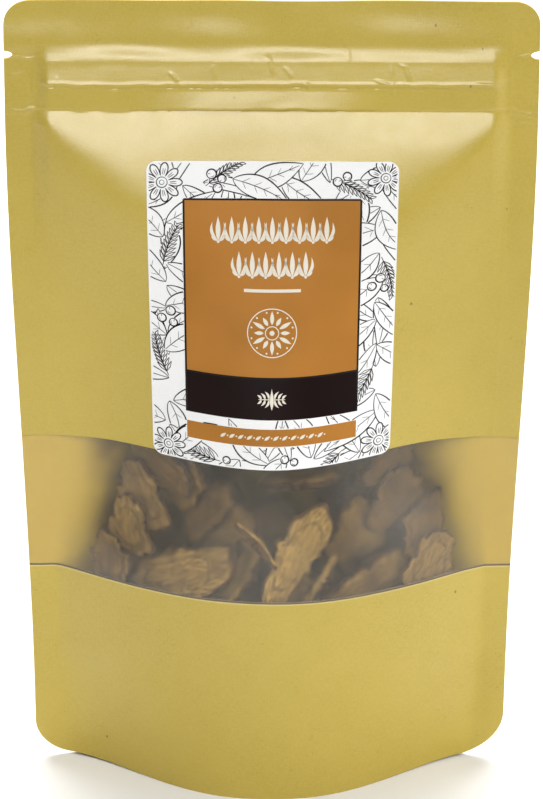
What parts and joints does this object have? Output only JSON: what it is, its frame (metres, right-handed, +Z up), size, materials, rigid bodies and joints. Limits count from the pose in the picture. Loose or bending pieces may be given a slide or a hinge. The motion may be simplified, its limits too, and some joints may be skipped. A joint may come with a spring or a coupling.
{
  "type": "stand-up pouch of dried galangal slices",
  "caption": "Gold laminate stand-up pouch with zip, tear notches, frosted window band and front label, filled with dried galangal root slices.",
  "frame": {"origin": "on the surface the pouch stands on, under the middle of its box", "axes": "+Z up along the height, +X across the width to the viewer's right, the front with window and label faces -Y"},
  "size_m": [0.16, 0.058, 0.2576],
  "materials": {
    "gold_paper": "satin gold coated paper laminate with fine fibres and a soft metallic sheen",
    "window_film": "frosted clear film",
    "zip": "natural translucent polyethylene",
    "label": "smooth white label stock with matt print",
    "dried_galangal": "dry fibrous cut faces with a wrinkled red-brown rind"
  },
  "bodies": {
    "root": {"back_panel": "gold_paper", "bottom_gusset": "gold_paper", "front_paper_lower": "gold_paper", "front_paper_upper": "gold_paper", "galangal_slice_01": "dried_galangal", "galangal_slice_02": "dried_galangal", "galangal_slice_03": "dried_galangal", "galangal_slice_04": "dried_galangal", "galangal_slice_05": "dried_galangal", "galangal_slice_06": "dried_galangal", "galangal_slice_07": "dried_galangal", "galangal_slice_08": "dried_galangal", "galangal_slice_09": "dried_galangal", "galangal_slice_10": "dried_galangal", "galangal_slice_11": "dried_galangal", "galangal_slice_12": "dried_galangal", "galangal_slice_13": "dried_galangal", "galangal_slice_14": "dried_galangal", "galangal_slice_15": "dried_galangal", "galangal_slice_16": "dried_galangal", "galangal_slice_17": "dried_galangal", "galangal_slice_18": "dried_galangal", "galangal_slice_19": "dried_galangal", "galangal_slice_20": "dried_galangal", "galangal_slice_21": "dried_galangal", "galangal_slice_22": "dried_galangal", "galangal_slice_23": "dried_galangal", "galangal_slice_24": "dried_galangal", "galangal_slice_25": "dried_galangal", "galangal_slice_26": "dried_galangal", "galangal_slice_27": "dried_galangal", "galangal_slice_28": "dried_galangal", "galangal_slice_29": "dried_galangal", "galangal_slice_30": "dried_galangal", "galangal_slice_31": "dried_galangal", "galangal_slice_32": "dried_galangal", "galangal_slice_33": "dried_galangal", "galangal_slice_34": "dried_galangal", "galangal_slice_35": "dried_galangal", "galangal_slice_36": "dried_galangal", "galangal_slice_37": "dried_galangal", "galangal_slice_38": "dried_galangal", "galangal_slice_39": "dried_galangal", "galangal_slice_40": "dried_galangal", "galangal_slice_41": "dried_galangal", "galangal_slice_42": "dried_galangal", "galangal_slice_43": "dried_galangal", "galangal_slice_44": "dried_galangal", "galangal_slice_45": "dried_galangal", "galangal_slice_46": "dried_galangal", "galangal_slice_47": "dried_galangal", "galangal_slice_48": "dried_galangal", "galangal_slice_49": "dried_galangal", "galangal_slice_50": "dried_galangal", "galangal_slice_51": "dried_galangal", "galangal_slice_52": "dried_galangal", "label": "label", "window_film": "window_film", "zip_groove_track": "zip", "zip_rib_track": "zip"}
  },
  "joints": []
}
